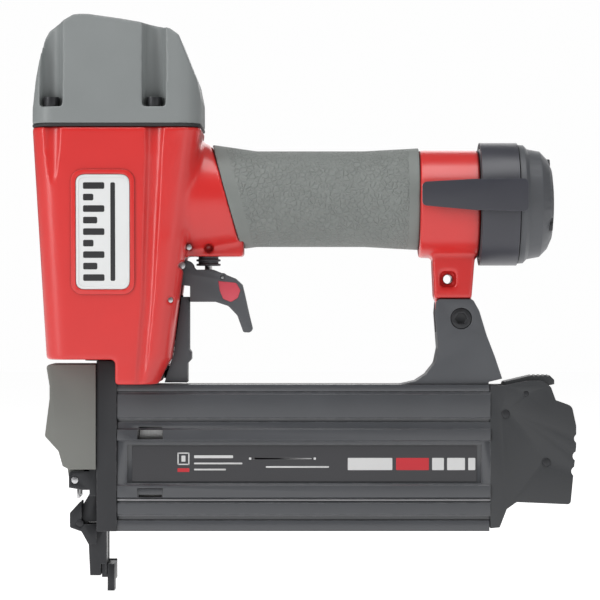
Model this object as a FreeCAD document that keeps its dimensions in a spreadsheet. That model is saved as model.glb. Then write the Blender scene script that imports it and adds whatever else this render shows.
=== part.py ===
"""Pneumatic 18-gauge brad nailer, modelled as separate pieces.

Frame: millimetres, +Z up. The origin is the centre of the drive line at the bottom of the
work contact. +X runs back from the nose along the magazine and the handle. +Y is the far side.
"""
import FreeCAD, Part
import os
import re

import Sketcher

V = FreeCAD.Vector

doc = FreeCAD.newDocument("BradNailer")

# ---------------------------------------------------------------- driving dimensions
SIZES = {
    # magnesium housing: column, handle core, rear collar
    "column_front_top": -28.6, "column_front_low": -23.0, "column_back_top": 43.0,
    "column_back_low": 30.0, "column_half": 29.5, "column_low_half": 25.5, "column_round": 10.0,
    "column_top": 197.6, "column_floor": 99.4, "column_heel": 88.9, "heel_front": 6.6,
    "heel_back": 24.5, "heel_half": 25.1, "bridge_low": 143.2, "bridge_back": 60.5,
    "handle_height": 165.8, "handle_radius": 17.0, "handle_bore": 12.5, "handle_back": 161.0,
    "collar_front": 135.5, "collar_radius": 23.2, "chamber_radius": 21.8, "chamber_floor": 110.0,
    "lug_front": 141.0, "lug_back": 158.0, "lug_low": 111.0, "lug_half": 6.0,
    # rubber grip
    "grip_radius": 20.6, "grip_rise": 2.2, "grip_flare": 21.9,
    # cap over the cylinder
    "cap_top": 245.2, "gasket": 1.2, "pocket_low": 206.0,
    # cylinder, piston and driver
    "bore_radius": 18.4, "sleeve_wall": 2.2, "sleeve_low": 110.0, "sleeve_top": 208.0,
    "piston_top": 206.0, "piston_height": 11.0, "bumper_top": 114.4,
    "bumper_radius": 17.5, "blade_half": 0.75, "blade_wide": 1.45, "blade_tip": 87.0,
    # nose, drive channel and door
    "channel_half": 0.9, "channel_wide": 1.7, "nose_half": 12.0, "nose_back": 6.4,
    "nose_front": -2.1, "nose_low": 26.0, "nose_top": 98.6, "tip_low": 6.5,
    "tip_half": 4.6, "tip_back": 1.7, "foot_front": 2.1, "foot_back": 5.0, "door_front": -5.4, "door_half": 8.6, "door_low": 29.4,
    "door_top": 94.0, "hinge_x": -9.6, "hinge_z": 29.0, "latch_x": -11.6, "latch_z": 47.6,
    "ear_half": 8.6, "pin_radius": 1.5, "pin_gap": 0.05,
    # magazine
    "mag_front": 6.4, "mag_back": 165.4, "mag_half": 11.3, "mag_low": 26.0, "mag_top": 88.5,
    "flange_top": 2.9, "flange_low": 4.6, "mag_gap": 0.25, "track_half": 0.8,
    "brad_low": 28.6, "brad_height": 40.0, "brad_pitch": 1.27, "brad_count": 20.0,
    # trigger group
    "trigger_x": 34.4, "trigger_z": 139.2, "trigger_half": 9.0, "stem_x": 45.2,
    "valve_radius": 5.2, "valve_low": 139.3, "stem_radius": 1.6,
    # safety linkage
    "safety_y": 12.5, "safety_thick": 2.0, "rod_x": 32.8, "rod_top": 126.6,
    "rod_radius": 1.6,
    # rear end
    "ring_front": 161.4, "ring_back": 177.6, "ring_inner": 24.2, "ring_outer": 26.4,
    "end_back": 193.0, "end_radius": 23.9, "inlet_radius": 5.6, "inlet_depth": 14.0,
    "strap_in": 28.2, "strap_out": 30.6, "strap_front": 136.0, "strap_back": 180.4,
    # support arm
    "arm_half": 9.4, "arm_front": 142.4, "arm_back": 171.0,
}
sheet = doc.addObject("Spreadsheet::Sheet", "Sizes")
for row, (alias, value) in enumerate(SIZES.items(), start=1):
    sheet.set(f"A{row}", alias)
    sheet.set(f"B{row}", str(value))
    sheet.setAlias(f"B{row}", alias)
doc.recompute()
ALIAS = re.compile(r"\b(" + "|".join(sorted(SIZES, key=len, reverse=True)) + r")\b")
NODES = []


def cells(text):
    """Turn bare size names in a formula into references to the sheet."""
    return ALIAS.sub(r"Sizes.\1", str(text))


def size(name):
    """The number in one cell of the sheet."""
    return float(sheet.get(name))


def number(text):
    """The value of a formula of size names, used to place sketch points and to pick edges."""
    doc.getObject("Probe").setExpression("X", cells(text))
    doc.getObject("Probe").recompute()
    return float(doc.getObject("Probe").X.Value)


def bind(thing, **formulas):
    """Bind properties to the sheet. A double underscore in a name stands for a dot."""
    for name, text in formulas.items():
        thing.setExpression(name.replace("__", "."), cells(text))
    return thing


doc.addObject("Part::Vertex", "Probe")


def node(label, thing):
    """Name a finished sub-part, which is written to parts/label.step."""
    thing.Label = label
    NODES.append(thing)
    return thing


# ---------------------------------------------------------------- construction helpers
def box(x, y, z):
    """A block between two limits along each axis, each limit a formula of size names."""
    block = doc.addObject("Part::Box", "Block")
    return bind(block,
                Length=f"({x[1]}) - ({x[0]})", Width=f"({y[1]}) - ({y[0]})",
                Height=f"({z[1]}) - ({z[0]})", Placement__Base__x=x[0],
                Placement__Base__y=y[0], Placement__Base__z=z[0])


TURNS = {"Z": FreeCAD.Rotation(), "X": FreeCAD.Rotation(V(0, 1, 0), 90),
         "Y": FreeCAD.Rotation(V(1, 0, 0), -90)}


def rod(axis, radius, low, high, across=("0", "0"), kind="Part::Cylinder", **extra):
    """A cylinder or cone along X, Y or Z between two limits, centred at across."""
    solid = doc.addObject(kind, "Rod")
    solid.Placement = FreeCAD.Placement(V(), TURNS[axis])
    names = {"X": ("y", "z", "x"), "Y": ("x", "z", "y"), "Z": ("x", "y", "z")}[axis]
    bind(solid, Height=f"({high}) - ({low})", **{
        f"Placement__Base__{names[0]}": across[0], f"Placement__Base__{names[1]}": across[1],
        f"Placement__Base__{names[2]}": low})
    if kind == "Part::Cylinder":
        bind(solid, Radius=radius)
    else:
        bind(solid, Radius1=radius, **extra)
    return solid


def ring(axis, middle, thickness, at):
    """A torus, such as an O-ring, about an axis through at."""
    loop = doc.addObject("Part::Torus", "Loop")
    loop.Placement = FreeCAD.Placement(V(), TURNS[axis])
    return bind(loop, Radius1=middle, Radius2=thickness, Placement__Base__x=at[0],
                Placement__Base__y=at[1], Placement__Base__z=at[2])


def joined(*solids):
    """One solid from several that touch or overlap."""
    whole = solids[0]
    for other in solids[1:]:
        pair = doc.addObject("Part::Fuse", "Joined")
        pair.Base, pair.Tool = whole, other
        pair.Refine = True
        whole = pair
    return whole


def less(base, *tools):
    """A solid with others cut out of it. Every cut has to take something away."""
    whole = base
    for tool in tools:
        pair = doc.addObject("Part::Cut", "Less")
        pair.Base, pair.Tool = whole, tool
        doc.recompute([pair, tool, whole], True)
        doc.recompute()
        assert pair.Shape.Volume < whole.Shape.Volume - 1e-3, "a cut took nothing away"
        whole = pair
    return whole


def shared(base, tool):
    """What two solids have in common."""
    pair = doc.addObject("Part::Common", "Shared")
    pair.Base, pair.Tool = base, tool
    return pair


def group(*solids):
    """Separate solids kept together as one sub-part."""
    bundle = doc.addObject("Part::Compound", "Group")
    bundle.Links = list(solids)
    return bundle


def origin_plane(body, role):
    """One of a body's own origin planes."""
    return next(item for item in body.Origin.OriginFeatures if item.Role == role)


def outline(body, role, points, offset="0"):
    """A closed sketch of straight sides whose corners are bound to the sheet."""
    sketch = body.newObject("Sketcher::SketchObject", "Outline")
    sketch.AttachmentSupport = [(origin_plane(body, role), "")]
    sketch.MapMode = "FlatFace"
    bind(sketch, AttachmentOffset__Base__z=offset)
    spots = [V(number(u), number(w), 0) for u, w in points]
    count = len(spots)
    sketch.addGeometry([Part.LineSegment(spots[i], spots[(i + 1) % count]) for i in range(count)])
    for i in range(count):
        sketch.addConstraint(Sketcher.Constraint("Coincident", i, 2, (i + 1) % count, 1))
    for i, (u, w) in enumerate(points):
        for kind, text, value in (("DistanceX", u, spots[i].x), ("DistanceY", w, spots[i].y)):
            index = sketch.addConstraint(Sketcher.Constraint(kind, -1, 1, i, 1, value))
            sketch.setExpression(f"Constraints[{index}]", cells(text))
    return sketch


def plate(role, points, low, high, rounds=None):
    """A padded outline between two limits along its plane's axis, with rounded corners.

    XZ_Plane outlines are in X and Z and grow along Y, YZ_Plane ones are in Y and Z and grow
    along X, XY_Plane ones are in X and Y and grow along Z. rounds maps a radius to the
    indices of the corners that have it.
    """
    body = doc.addObject("PartDesign::Body", "Body")
    backwards = role == "XZ_Plane"
    sketch = outline(body, role, points, f"-({high})" if backwards else low)
    pad = body.newObject("PartDesign::Pad", "Pad")
    pad.Profile = sketch
    bind(pad, Length=f"({high}) - ({low})")
    doc.recompute()
    for radius, corners in (rounds or {}).items():
        base = body.Tip
        wanted = [tuple(number(text) for text in points[i]) for i in corners]
        fillet = body.newObject("PartDesign::Fillet", "Round")
        fillet.Base = (base, corner_edges(base.Shape, role, wanted))
        bind(fillet, Radius=radius)
        doc.recompute()
        assert "Invalid" not in fillet.State, f"round {radius} failed"
    return body


def corner_edges(shape, role, wanted):
    """Names of the straight edges that run across an outline's plane at its corners."""
    names = []
    for index, edge in enumerate(shape.Edges, start=1):
        ends = [vertex.Point for vertex in edge.Vertexes]
        if len(ends) != 2:
            continue
        flat = {"XZ_Plane": lambda p: (p.x, p.z), "YZ_Plane": lambda p: (p.y, p.z),
                "XY_Plane": lambda p: (p.x, p.y)}[role]
        a, b = flat(ends[0]), flat(ends[1])
        if abs(a[0] - b[0]) + abs(a[1] - b[1]) > 1e-4:
            continue
        if any(abs(a[0] - u) + abs(a[1] - w) < 1e-3 for u, w in wanted):
            names.append(f"Edge{index}")
    assert names, "no corner edges found"
    return names


def turned(points, axis="X", height="0"):
    """A revolved outline. Its points are (distance along the axis, radius).

    The axis is parallel to X at the given height, or it is Z itself.
    """
    body = doc.addObject("PartDesign::Body", "Body")
    if axis == "X":
        sketch = outline(body, "XY_Plane", points, height)
        line = "H_Axis"
    else:
        sketch = outline(body, "XZ_Plane", [(r, a) for a, r in points])
        line = "V_Axis"
    spin = body.newObject("PartDesign::Revolution", "Spin")
    spin.Profile = sketch
    spin.ReferenceAxis = (sketch, [line])
    spin.Angle = 360
    return body


def rounded(body, x0, x1, half, z, radius):
    """A rectangle with round corners, level at height z."""
    sketch = body.newObject("Sketcher::SketchObject", "Rounded")
    sketch.AttachmentSupport = [(origin_plane(body, "XY_Plane"), "")]
    sketch.MapMode = "FlatFace"
    bind(sketch, AttachmentOffset__Base__z=z)
    left, right, side, r = number(x0), number(x1), number(half), number(radius)
    centres = [(left + r, r - side), (right - r, r - side), (right - r, side - r),
               (left + r, side - r)]
    starts = [(left + r, -side), (right, r - side), (right - r, side), (left, side - r)]
    ends = [(right - r, -side), (right, side - r), (left + r, side), (left, r - side)]
    for start, end in zip(starts, ends):
        sketch.addGeometry(Part.LineSegment(V(*start, 0), V(*end, 0)))
    quarter = 1.5707963267948966
    for turn, (u, w) in enumerate(centres):
        circle = Part.Circle(V(u, w, 0), V(0, 0, 1), r)
        sketch.addGeometry(Part.ArcOfCircle(circle, (turn + 2) * quarter, (turn + 3) * quarter))
    for turn in range(4):
        sketch.addConstraint(Sketcher.Constraint("Tangent", 4 + turn, 2, turn, 1))
        sketch.addConstraint(Sketcher.Constraint("Tangent", turn, 2, 4 + (turn + 1) % 4, 1))
    for turn in (0, 2):
        sketch.addConstraint(Sketcher.Constraint("Horizontal", turn))
        sketch.addConstraint(Sketcher.Constraint("Vertical", turn + 1))
    for turn in (5, 6, 7):
        sketch.addConstraint(Sketcher.Constraint("Equal", 4, turn))
    limits = (("DistanceY", 0, f"-({half})", -side), ("DistanceX", 1, x1, right),
              ("DistanceY", 2, half, side), ("DistanceX", 3, x0, left))
    for kind, line, text, value in limits:
        index = sketch.addConstraint(Sketcher.Constraint(kind, -1, 1, line, 1, value))
        sketch.setExpression(f"Constraints[{index}]", cells(text))
    index = sketch.addConstraint(Sketcher.Constraint("Radius", 4, r))
    sketch.setExpression(f"Constraints[{index}]", cells(radius))
    return sketch


def tapered(low, high, radius):
    """A block between two round-cornered rectangles, each (x0, x1, half width, z)."""
    body = doc.addObject("PartDesign::Body", "Body")
    sections = [rounded(body, *limits, radius) for limits in (low, high)]
    loft = body.newObject("PartDesign::AdditiveLoft", "Taper")
    loft.Profile = sections[0]
    loft.Sections = [sections[1]]
    loft.Ruled = True
    doc.recompute()
    assert "Invalid" not in loft.State, "taper failed"
    return body


def tube(axis, outer, inner, low, high, across=("0", "0")):
    """A plain tube along an axis."""
    return less(rod(axis, outer, low, high, across), rod(axis, inner, low, high, across))


def coil(axis, mean, wire, low, high, turns, at=(0, 0)):
    """A round-wire compression spring with its axis along X or Z, swept in quarter turns."""
    length = number(high) - number(low) - 2 * wire
    path = []
    for quarter in range(4 * turns):
        arc = Part.makeHelix(length / turns, length / turns / 4, mean)
        arc.rotate(V(), V(0, 0, 1), 90 * quarter)
        arc.translate(V(0, 0, length / turns / 4 * quarter))
        path += arc.Edges
    circle = Part.Wire([Part.makeCircle(wire, V(mean, 0, 0), V(0, 1, 0))])
    spring = doc.addObject("Part::Feature", "Coil")
    spring.Shape = Part.Wire(path).makePipeShell([circle], True, True)
    place = {"Z": V(at[0], at[1], number(low) + wire), "X": V(number(low) + wire, at[0], at[1])}
    spring.Placement = FreeCAD.Placement(place[axis], TURNS[axis])
    return spring


# ---------------------------------------------------------------- housing: one light casting
SCREW_X = ("-20.2", "23.2")
SCREW_Y = ("-24.6", "24.6")
END_SCREWS = (("-14", "handle_height - 9"), ("14", "handle_height - 9"),
              ("0", "handle_height + 16.4"))

column = tapered(("column_front_low", "column_back_low", "column_low_half", "column_floor"),
                 ("column_front_top", "column_back_top", "column_half", "column_top"),
                 "column_round")
heel = less(tapered(("-8", "heel_back", "heel_half", "column_heel"),
                    ("-8", "column_back_low", "column_low_half", "column_floor + 1"),
                    "column_round"),
            box(("-10", "heel_front"), ("-30", "30"), ("80", "column_floor")))
at_handle = ("0", "handle_height")
at_grip = ("0", "handle_height + grip_rise")


def neck():
    """The cone that leads from the column into the handle, shared by casting and grip."""
    return rod("X", "26.2", "28", "66", at_grip, "Part::Cone", Radius2="grip_radius")


def seam():
    """Everything in front of the slanted seam between casting and grip."""
    return plate("XZ_Plane", [("46", "195"), ("bridge_back", "bridge_low"), ("bridge_back", "138"),
                              ("27", "138"), ("27", "195")], "-28", "28")


flare = shared(neck(), seam())
bridge = box(("34", "bridge_back"), ("-10.5", "10.5"), ("bridge_low", "bridge_low + 12"))
core = rod("X", "handle_radius", "30", "handle_back", at_handle)
stub = rod("X", "20", "150", "176", at_handle)
collar = rod("X", "collar_radius", "collar_front", "handle_back", at_handle)
lug = plate("XZ_Plane", [("lug_front", "150"), ("lug_front + 1", "125.2"), ("lug_back", "125.2"),
                         ("lug_back + 2", "150")], "-9", "9")
tongue = plate("XZ_Plane", [("lug_front + 1.2", "140"), ("lug_front + 2.4", "lug_low"),
                            ("lug_back", "lug_low"), ("lug_back", "140")],
               "-lug_half", "lug_half", {"2": [1, 2]})
casting = joined(column, heel, flare, bridge, core, stub, collar, lug, tongue)
casting = less(
    casting,
    box(("37", "62"), ("-30", "30"), ("118", "bridge_low")),
    rod("Z", "chamber_radius", "chamber_floor", "column_top + 1"),
    rod("Z", "8", "column_heel - 1", "chamber_floor + 1"),
    rod("X", "handle_bore", "18", "177", at_handle),
    *[rod("X", "1.9", "166", "177", at) for at in END_SCREWS],
    # hollow heel for the nose shelf, with a side channel for the safety link
    box(("heel_front - 1", "27.6"), ("-12.2", "12.2"), ("column_heel - 1", "nose_top")),
    box(("heel_front - 9", "34"), ("12.2", "safety_y + 2.7"), ("column_heel - 1", "105.6")),
    # slot for the trigger and groove for the safety rod
    box(("28.6", "40"), ("-9.35", "9.35"), ("123.5", "bridge_low")),
    box(("29.2", "37"), ("-3.5", "3.5"), ("column_heel - 1", "124")),
    box(("30.6", "34"), ("-3.5", "15.2"), ("column_heel - 1", "105.6")),
    rod("Z", "valve_radius", "bridge_low - 1", "158", ("stem_x", "0")),
    rod("Y", "pin_radius", "-25", "25", ("trigger_x", "trigger_z")),
    rod("Y", "1.2", "-25", "25", ("37.5", "147")),
    *[rod("Y", "1.2", low, high, ("29.8", "124.6")) for low, high in (("-25", "-9"), ("9", "25"))],
    # light holes and the cross holes of the lug
    rod("Y", "2.1", "-12", "12", ("147.9", "133.5")),
    rod("Y", "2.6", "-12", "12", ("153.5", "116.7")),
    box(("144.6", "151.2"), ("-10", "-6.6"), ("130.2", "136.8")),
    *[rod("Z", "2", "180", "column_top + 1", (x, y)) for x in SCREW_X for y in SCREW_Y],
    *[rod("Z", "2", "94", "108.2", (x, y)) for x in ("13", "22.6") for y in ("-8.6", "8.6")],
    rod("Y", "1.9", "-14", "-8", ("45.6", "146.8")))
node("housing", casting)

# ---------------------------------------------------------------- cap, gasket, cap screws
# The cap's side view: an upright front, a crown that falls to the rear, and a sloping back.
PROFILE = [("column_front_top - 1", "column_top + gasket"), ("column_front_top - 1", "203"),
           ("-28.2", "207"), ("-26.9", "217.5"), ("-25.1", "226.5"), ("-23.2", "234.6"),
           ("-21.4", "238.2"), ("-17.6", "241"), ("-11", "cap_top - 0.3"), ("-8.4", "cap_top"),
           ("-5", "cap_top"), ("9", "243.2"), ("20.6", "241.2"), ("29.8", "239.1"),
           ("33.6", "236.4"), ("37.6", "226.3"), ("41.2", "217.6"), ("43.2", "208"),
           ("column_back_top + 1", "204"), ("column_back_top + 1", "column_top + gasket")]
LIP = ("column_front_top", "column_back_top", "column_half", "column_top + gasket")
CROWN = ("column_front_top", "column_back_top", "25.6", "252")
shell = shared(tapered(LIP, CROWN, "column_round"),
               plate("XZ_Plane", PROFILE, "-31", "31", {"2": [6, 13, 14]}))
shell = less(
    shell,
    rod("Z", "25.2", "column_top", "220.6"),
    rod("Z", "19.2", "220.5", "238"),
    *[rod("Z", "5", "pocket_low", "250", (x, y + " * 1.106")) for x in SCREW_X for y in SCREW_Y],
    *[rod("Z", "3.9", "pocket_low", "250", (x, y)) for x in SCREW_X for y in SCREW_Y],
    *[rod("Z", "2.1", "column_top", "pocket_low + 0.5", (x, y)) for x in SCREW_X for y in SCREW_Y])
node("cap", shell)

rim = [("column_front_top", "-column_half"), ("column_back_top", "-column_half"),
       ("column_back_top", "column_half"), ("column_front_top", "column_half")]
seal = less(plate("XY_Plane", rim, "column_top", "column_top + gasket", {"column_round": [0, 1, 2, 3]}),
            rod("Z", "chamber_radius", "column_top - 1", "column_top + 4"),
            *[rod("Z", "2.1", "column_top - 1", "column_top + 4", (x, y))
              for x in SCREW_X for y in SCREW_Y])
node("cap_gasket", seal)


def socket_screw(x, y, seat, low, head_radius, shank, rise=1):
    """A socket head screw along Z. Its head sits on the seat, above it, or below it if rise is -1."""
    head_end = f"({seat}) + 4 * {rise}"
    head = rod("Z", head_radius, *sorted_pair(seat, head_end, rise), (x, y))
    shaft = rod("Z", shank, *sorted_pair(low, seat, rise), (x, y))
    hexagon = doc.addObject("Part::Prism", "Socket")
    hexagon.Polygon = 6
    bind(hexagon, Circumradius=f"{head_radius} * 0.55", Height="3", Placement__Base__x=x,
         Placement__Base__y=y, Placement__Base__z=f"({head_end}) - {3 if rise > 0 else 0}")
    return less(joined(head, shaft), hexagon)


def sorted_pair(first, second, rise):
    """Two limits in rising order."""
    return (first, second) if rise > 0 else (second, first)


node("cap_screws", group(*[socket_screw(x, y, "pocket_low", "182", "3.3", "2")
                           for x in SCREW_X for y in SCREW_Y]))

# ---------------------------------------------------------------- cylinder and driver
node("cylinder_sleeve", joined(
    tube("Z", "bore_radius + sleeve_wall", "bore_radius", "sleeve_low", "sleeve_top"),
    tube("Z", "chamber_radius - 0.1", "bore_radius + sleeve_wall - 0.4", "190", "194")))
node("cylinder_seals", group(*[
    tube("Z", "chamber_radius", "bore_radius + sleeve_wall", z, z + " + 2.4")
    for z in ("126", "187.4")]))
node("piston_bumper", tube("Z", "bumper_radius", "8.5", "chamber_floor", "bumper_top"))
node("exhaust_seal", less(rod("Z", "5.4", "213", "238"), rod("Z", "2.4", "212", "232")))

crown = joined(rod("Z", "bore_radius - 0.3", "piston_top - piston_height", "piston_top"),
               rod("Z", "6", "piston_top - piston_height - 5", "piston_top - piston_height + 1"))
node("piston", less(crown, tube("Z", "bore_radius", "16.8", "piston_top - 7", "piston_top - 4.4"),
                    rod("Z", "12", "piston_top - 3", "piston_top + 1")))
node("piston_seal", tube("Z", "bore_radius - 0.12", "16.8", "piston_top - 7", "piston_top - 4.4"))
node("driver_blade", box(("-blade_half", "blade_half"), ("-blade_wide", "blade_wide"),
                         ("blade_tip", "piston_top - piston_height - 5")))

ring_valve = less(joined(rod("Z", "24.8", "208.4", "216"), rod("Z", "14", "215", "219")),
                  rod("Z", "6", "208", "220"),
                  rod("Z", "17", "208", "211"),
                  tube("Z", "26", "23", "211.2", "213.8"))
node("head_valve", ring_valve)
node("head_valve_seal", tube("Z", "25.08", "23", "211.2", "213.8"))
node("head_valve_spring", coil("Z", 17, 1.1, "216", "238", 4))

# ---------------------------------------------------------------- nose and its screws
TIP = [("-6.4", "nose_low + 1"), ("-5.4", "tip_low"), ("tip_back", "tip_low"),
       ("tip_back", "13.5"), ("tip_back", "nose_low + 1")]
EAR = [("-14", "27.2"), ("-14", "33.4"), ("-9.6", "38.2"), ("-7.4", "38.2"), ("-6.6", "29"),
       ("-2.6", "28.6"), ("-2.6", "20"), ("-6", "20"), ("-9", "25.4")]
ears = [plate("XZ_Plane", EAR, low, high, {"1": [0, 1, 2]})
        for low, high in (("-6.2", "-3.9"), ("3.9", "6.2"))]
nose = joined(
    box(("channel_half", "nose_back"), ("-nose_half", "nose_half"), ("nose_low", "nose_top")),
    box(("nose_front", "channel_half + 1"), ("-nose_half", "2 - nose_half"),
        ("nose_low", "nose_top")),
    box(("nose_front", "channel_half + 1"), ("nose_half - 2", "nose_half"),
        ("nose_low", "nose_top")),
    plate("XZ_Plane", TIP, "-tip_half", "tip_half"), *ears,
    box(("nose_front", "27.4"), ("-nose_half", "nose_half"), ("94.8", "nose_top")),
    rod("Z", "7.9", "nose_top", "chamber_floor - 0.5"))
node("nose_body", less(
    nose,
    box(("-channel_half", "channel_half"), ("-channel_wide", "channel_wide"), ("5", "chamber_floor")),
    box(("-channel_half", "channel_half"), ("-tip_half - 1", "tip_half + 1"), ("5", "11.4")),
    box(("0", "nose_back + 1"), ("-track_half", "track_half"), ("28.3", "84.5")),
    # clearance for the door plate up to the boss
    box(("-9", "channel_half"), ("2 - nose_half", "nose_half - 2"), ("door_low - 0.8", "nose_top - 1")),
    rod("Y", "pin_radius", "-8", "8", ("hinge_x", "hinge_z")),
    *[rod("Z", "2.1", "94", "100", (x, y)) for x in ("13", "22.6") for y in ("-8.6", "8.6")]))
node("nose_screws", group(*[socket_screw(x, y, "94.8", "108", "3.2", "1.95", -1)
                            for x in ("13", "22.6") for y in ("-8.6", "8.6")]))
node("door_pin", rod("Y", "pin_radius", "-6.6", "6.6", ("hinge_x", "hinge_z")))

# ---------------------------------------------------------------- quick-clear door and latch
WEB = [("hinge_x - 2.2", "hinge_z + 0.6"), ("hinge_x - 0.6", "34"), ("door_front", "42"),
       ("-channel_half", "42"), ("-channel_half", "door_low"), ("hinge_x", "hinge_z + 0.4")]
LATCH_EAR = [("-14.2", "44.4"), ("-8.4", "43.4"), ("-channel_half", "43.4"),
             ("-channel_half", "51.4"), ("-13.2", "51.4"), ("-14.2", "50.4")]
door = joined(
    box(("door_front", "-channel_half"), ("-door_half", "door_half"), ("40.8", "door_top")),
    plate("XZ_Plane", WEB, "-3.7", "3.7"),
    rod("Y", "3.1", "-3.7", "3.7", ("hinge_x", "hinge_z")),
    plate("XZ_Plane", LATCH_EAR, "-ear_half", "2 - ear_half"),
    plate("XZ_Plane", LATCH_EAR, "ear_half - 2", "ear_half"))
node("nose_door", less(
    door,
    rod("Y", "pin_radius + pin_gap", "-8", "8", ("hinge_x", "hinge_z")),
    rod("Y", "pin_radius", "-10", "10", ("latch_x", "latch_z")),
    box(("-8", "door_front + 1.2"), ("-5.6", "5.6"), ("56", "90"))))
node("latch_pin", rod("Y", "pin_radius", "-9", "9", ("latch_x", "latch_z")))
node("latch_wire", joined(
    rod("Y", "0.55", "-8.1", "8.1", ("-10.2", "40.2")),
    *[box(("-10.75", "-9.65"), (low, high), ("40.2", "43.6"))
      for low, high in (("-8.1", "-7"), ("7", "8.1"))]))

SHIELD = [("-2.4", "97.2"), ("-23.6", "97.2"), ("-22.1", "88"), ("-22.1", "82.5"),
          ("-24.1", "66.6"), ("-18.3", "60.2"), ("-16.5", "53.8"), ("-13.6", "52.4"),
          ("-2.4", "52.4")]
HOLLOW = [("-1", "95.2"), ("-21.3", "95.2"), ("-20", "88"), ("-20", "82.4"), ("-21.8", "67.4"),
          ("-16.5", "61.2"), ("-14.7", "55"), ("-13.2", "50"), ("-1", "50")]
LUG = [("-13.9", "44.9"), ("-9.2", "44.9"), ("-8.2", "49"), ("-12", "66"), ("-22", "66"),
       ("-16.9", "60.2"), ("-15.2", "54")]
lever = less(plate("XZ_Plane", SHIELD, "-13", "13", {"1.6": [1, 2, 3, 4, 5]}),
             plate("XZ_Plane", HOLLOW, "-11.2", "11.2"))
lugs = [plate("XZ_Plane", LUG, low, high) for low, high in (("-6.3", "-3.6"), ("3.6", "6.3"))]
node("latch_lever", less(joined(lever, *lugs),
                         rod("Y", "pin_radius + pin_gap", "-8", "8", ("latch_x", "latch_z"))))

# ---------------------------------------------------------------- work contact linkage
link = joined(
    box(("foot_front", "foot_back"), ("-tip_half", "tip_half"), ("0", "11.4")),
    box(("foot_front", "foot_back"), ("tip_half - 1", "safety_y + safety_thick"), ("4", "11.4")),
    box(("-1.6", "foot_back"), ("safety_y", "safety_y + safety_thick"), ("4", "12")),
    box(("-1.6", "1.6"), ("safety_y", "safety_y + safety_thick"), ("11", "28")),
    box(("-1.6", "4.4"), ("safety_y", "safety_y + safety_thick"), ("27.5", "96")),
    box(("-1.6", "33.6"), ("safety_y", "safety_y + safety_thick"), ("90.6", "96")),
    box(("31.2", "33.6"), ("-1.6", "safety_y + safety_thick"), ("90.6", "96")),
    rod("Z", "rod_radius", "91", "rod_top", ("rod_x", "0")))
node("contact_tip", link)
node("safety_spring", coil("Z", 2.4, 0.35, "96.2", "113", 7, (size("rod_x"), 0)))

GUARD = [("33.8", "126"), ("30.6", "101.5"), ("27.8", "93.6"), ("26.6", "89.3"),
         ("36.4", "89.3"), ("36.4", "97.4"), ("38", "99.2"), ("38", "102.2"),
         ("37.1", "103.4"), ("37.1", "126")]
node("safety_guard", less(
    plate("XZ_Plane", GUARD, "-7", "7", {"0.6": [5, 6, 7, 8]}),
    box(("20", "35.8"), ("-3.3", "3.3"), ("89", "113")),
    box(("20", "35.2"), ("-3.3", "8"), ("89", "105.6")),
    rod("Z", "2.1", "110", "127", ("rod_x", "0"))))

# ---------------------------------------------------------------- trigger group
TRIGGER = [("36.4", "141.2"), ("33", "136.6"), ("33.4", "131"), ("37.6", "130.6"),
           ("37.6", "123.8"), ("48.5", "123.8"), ("54", "122"), ("57.8", "118"),
           ("60.4", "110.8"), ("64.6", "110.6"), ("62.7", "118.4"), ("60.8", "127"),
           ("59.8", "131.2"), ("57", "133.8"), ("47.5", "137.6"), ("40", "137.6")]
PAD = [("49.6", "132.8"), ("57.4", "132"), ("59.2", "128.8"), ("58.1", "125.4"),
       ("55.1", "123.6"), ("51.7", "125"), ("50.2", "128.6")]
pads = [plate("XZ_Plane", PAD, low, high, {"1.4": [1, 2, 3, 4, 5]})
        for low, high in (("-trigger_half", "0.9 - trigger_half"),
                          ("trigger_half - 0.9", "trigger_half"))]
blade = plate("XZ_Plane", TRIGGER, "-trigger_half", "trigger_half",
              {"1.6": [0, 9, 12], "3": [6, 7], "1": [8]})
node("trigger", less(
    joined(blade, rod("Y", "3.4", "-trigger_half", "trigger_half", ("trigger_x + 1.2", "trigger_z - 1"))),
    box(("28", "56"), ("-6", "6"), ("126", "144")),
    rod("Y", "pin_radius + pin_gap", "-12", "12", ("trigger_x", "trigger_z")),
    rod("Y", "1", "-12", "12", ("51.4", "134.3")),
    *pads))
node("trigger_pads", group(*pads))
node("trigger_pin", rod("Y", "pin_radius", "-17", "17", ("trigger_x", "trigger_z")))
node("trigger_spring", group(*[ring("Y", "2.25", "0.5", ("trigger_x", y, "trigger_z"))
                               for y in ("-5.2", "-4.1", "4.1", "5.2")]))
node("rocker", less(
    joined(box(("31.4", "53.4"), ("-3", "3"), ("133.4", "135.2")),
           rod("Y", "1.9", "-3", "3", ("51.4", "134.3"))),
    rod("Y", "1.05", "-4", "4", ("51.4", "134.3"))))
node("rocker_pin", rod("Y", "1", "-8", "8", ("51.4", "134.3")))
fins = [rod("Z", "valve_radius", z, z + " + 0.9", ("stem_x", "0"))
        for z in ("valve_low", "valve_low + 1.9")]
node("trigger_valve", less(
    joined(rod("Z", "4.3", "valve_low", "157.4", ("stem_x", "0")), *fins,
           rod("Z", "valve_radius", "bridge_low", "150", ("stem_x", "0"))),
    rod("Z", "stem_radius + pin_gap", "137", "147", ("stem_x", "0")),
    rod("Z", "3.2", "146", "155.6", ("stem_x", "0"))))
node("valve_stem", joined(rod("Z", "stem_radius", "136.4", "147", ("stem_x", "0")),
                          rod("Z", "2.7", "146.3", "148.6", ("stem_x", "0"))))
node("valve_spring", coil("Z", 2.2, 0.3, "148.7", "155.5", 4, (size("stem_x"), 0)))
node("roll_pins", group(rod("Y", "1.2", "-18", "18", ("37.5", "147")),
                        *[rod("Y", "1.2", low, high, ("29.8", "124.6"))
                          for low, high in (("-23.4", "-9.6"), ("9.6", "23.4"))]))

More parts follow.
